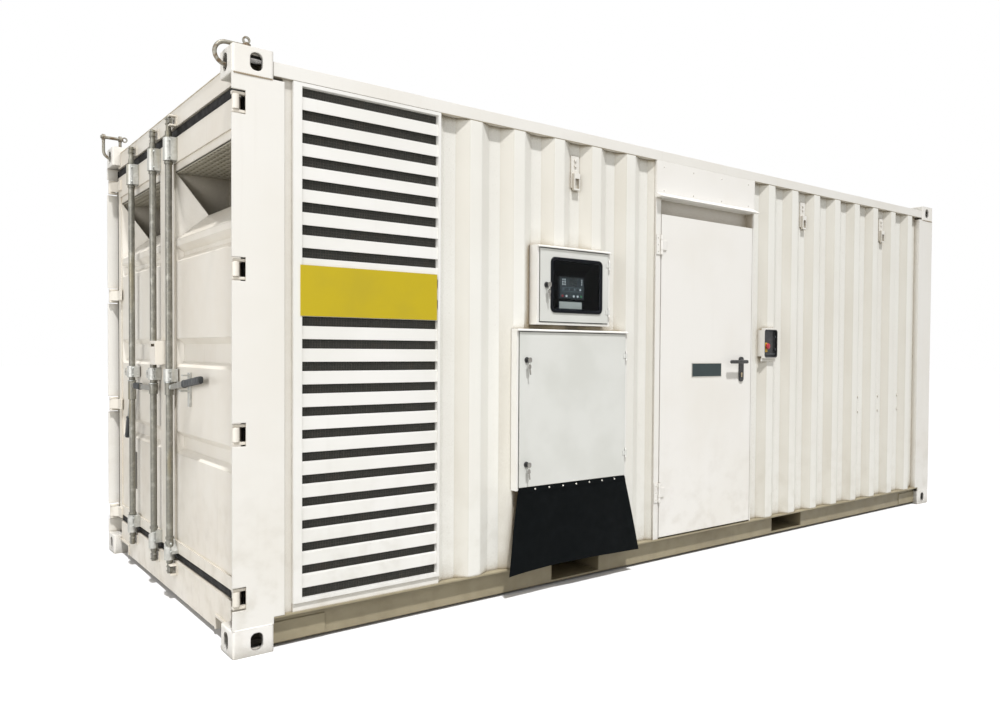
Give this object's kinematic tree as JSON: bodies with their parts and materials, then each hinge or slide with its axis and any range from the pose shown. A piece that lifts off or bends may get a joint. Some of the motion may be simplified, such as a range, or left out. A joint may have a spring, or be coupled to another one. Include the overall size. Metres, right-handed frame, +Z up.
{
  "type": "containerised generator set",
  "caption": "Steel freight-container generator housing with louvred sides, a personnel door, control and power boxes and a pair of cargo doors with lock bars.",
  "frame": {"origin": "on the ground at the centre of the footprint, in the middle of the four bottom casting slots", "axes": "+X from the cargo doors to the plain end, +Y from the side with the control box to the plain side, +Z up"},
  "size_m": [6.111, 2.509, 2.674],
  "materials": {
    "frame_paint": "warm white container paint, satin",
    "wall_paint": "warm white container paint, satin",
    "rail_paint": "khaki underframe paint, matt",
    "under_paint": "dull khaki underframe coating",
    "louvre_paint": "white louvre paint, satin",
    "screen_mesh": "dark fine mesh",
    "band_paint": "mustard yellow, plain",
    "cabinet_door": "light grey powder coat, textured",
    "cabinet_case": "white casing paint",
    "black_plastic": "moulded black plastic",
    "teal_plate": "plain dark label plate",
    "window": "black rubber frame round a dark pane",
    "panel_dark": "dark controller front",
    "skirt_rubber": "black reinforced rubber sheet",
    "button_red": "red push button",
    "galvanised": "hot-dip galvanised steel, dull",
    "shackle_steel": "worn forged steel",
    "gasket": "black door seal",
    "dark_plate": "plain dark plate",
    "floor_board": "plain dark floor plate"
  },
  "bodies": {
    "container": {"bottom_castings": "frame_paint", "top_castings": "frame_paint", "lifting_shackles": "shackle_steel", "shackle_pins": "shackle_steel", "corner_posts": "frame_paint", "top_side_rails": "frame_paint", "bottom_side_rails": "rail_paint", "end_headers": "frame_paint", "door_sill": "frame_paint", "plain_end_sill": "rail_paint", "floor_crossmembers": "under_paint", "fork_pockets": "under_paint", "floor_deck": "floor_board", "roof_panel": "wall_paint", "near_wall": "wall_paint", "far_wall": "wall_paint", "plain_end_wall": "wall_paint", "louvre_surrounds": "wall_paint", "louvre_frames": "louvre_paint", "louvre_blades": "louvre_paint", "louvre_screens": "screen_mesh", "name_band_plate": "band_paint", "wall_brackets": "frame_paint", "door_head_panel": "wall_paint", "personnel_door_frame": "wall_paint", "control_box_body": "cabinet_case", "control_panel": "panel_dark", "power_box_body": "cabinet_case", "cabinet_hinges": "cabinet_case", "rubber_skirt": "skirt_rubber", "stop_box": "cabinet_case", "cargo_hinge_lugs": "frame_paint", "lock_keepers": "frame_paint"},
    "personnel_door": {"personnel_door_leaf": "wall_paint", "personnel_door_plate": "teal_plate", "handle_plate": "black_plastic"},
    "door_handle": {"personnel_door_handle": "black_plastic"},
    "control_door": {"control_box_door": "cabinet_door", "control_box_window": "window"},
    "power_door": {"power_box_door": "cabinet_door"},
    "emergency_button": {"stop_button": "button_red"},
    "cargo_door_near": {"near_leaf_frame": "frame_paint", "near_leaf_panel": "wall_paint", "near_inlet_hopper": "wall_paint", "near_leaf_gasket": "gasket", "near_lock_fittings": "galvanised"},
    "cargo_door_far": {"far_leaf_frame": "frame_paint", "far_leaf_panel": "wall_paint", "far_inlet_hopper": "wall_paint", "far_leaf_gasket": "gasket", "far_leaf_plate": "dark_plate", "far_lock_fittings": "galvanised", "lock_box": "frame_paint"},
    "lock_bar_near": {"lock_bar_near": "galvanised"},
    "lock_bar_middle": {"lock_bar_middle": "galvanised"},
    "lock_bar_outer": {"lock_bar_outer": "galvanised"}
  },
  "joints": [
    {"name": "cargo_door_near_swing", "type": "hinge", "parent": "container", "child": "cargo_door_near", "pos_m": [-3.009, -1.201, 1.3], "axis": [0, 0, 1], "range_deg": [0, 260]},
    {"name": "cargo_door_far_swing", "type": "hinge", "parent": "container", "child": "cargo_door_far", "pos_m": [-3.009, 1.201, 1.3], "axis": [0, 0, -1], "range_deg": [0, 260]},
    {"name": "personnel_door_swing", "type": "hinge", "parent": "container", "child": "personnel_door", "pos_m": [-0.421, -1.217, 1.2], "axis": [0, 0, -1], "range_deg": [0, 120]},
    {"name": "control_door_swing", "type": "hinge", "parent": "container", "child": "control_door", "pos_m": [-0.907, -1.262, 1.675], "axis": [0, 0, -1], "range_deg": [-110, 0]},
    {"name": "power_door_swing", "type": "hinge", "parent": "container", "child": "power_door", "pos_m": [-0.762, -1.262, 1], "axis": [0, 0, -1], "range_deg": [-110, 0]},
    {"name": "door_handle_turn", "type": "hinge", "parent": "personnel_door", "child": "door_handle", "pos_m": [0.376, -1.219, 1.253], "axis": [0, 1, 0], "range_deg": [-90, 0]},
    {"name": "lock_bar_near_turn", "type": "hinge", "parent": "cargo_door_near", "child": "lock_bar_near", "pos_m": [-3.007, -0.16, 1.3], "axis": [0, 0, 1], "range_deg": [-90, 0]},
    {"name": "lock_bar_middle_turn", "type": "hinge", "parent": "cargo_door_far", "child": "lock_bar_middle", "pos_m": [-3.007, 0.16, 1.3], "axis": [0, 0, -1], "range_deg": [-90, 0]},
    {"name": "lock_bar_outer_turn", "type": "hinge", "parent": "cargo_door_far", "child": "lock_bar_outer", "pos_m": [-3.007, 0.655, 1.3], "axis": [0, 0, -1], "range_deg": [-90, 0]},
    {"name": "stop_button_press", "type": "slide", "parent": "container", "child": "emergency_button", "axis": [0, 1, 0], "range_m": [0, 0.004], "stiffness_N_per_m": 600}
  ]
}
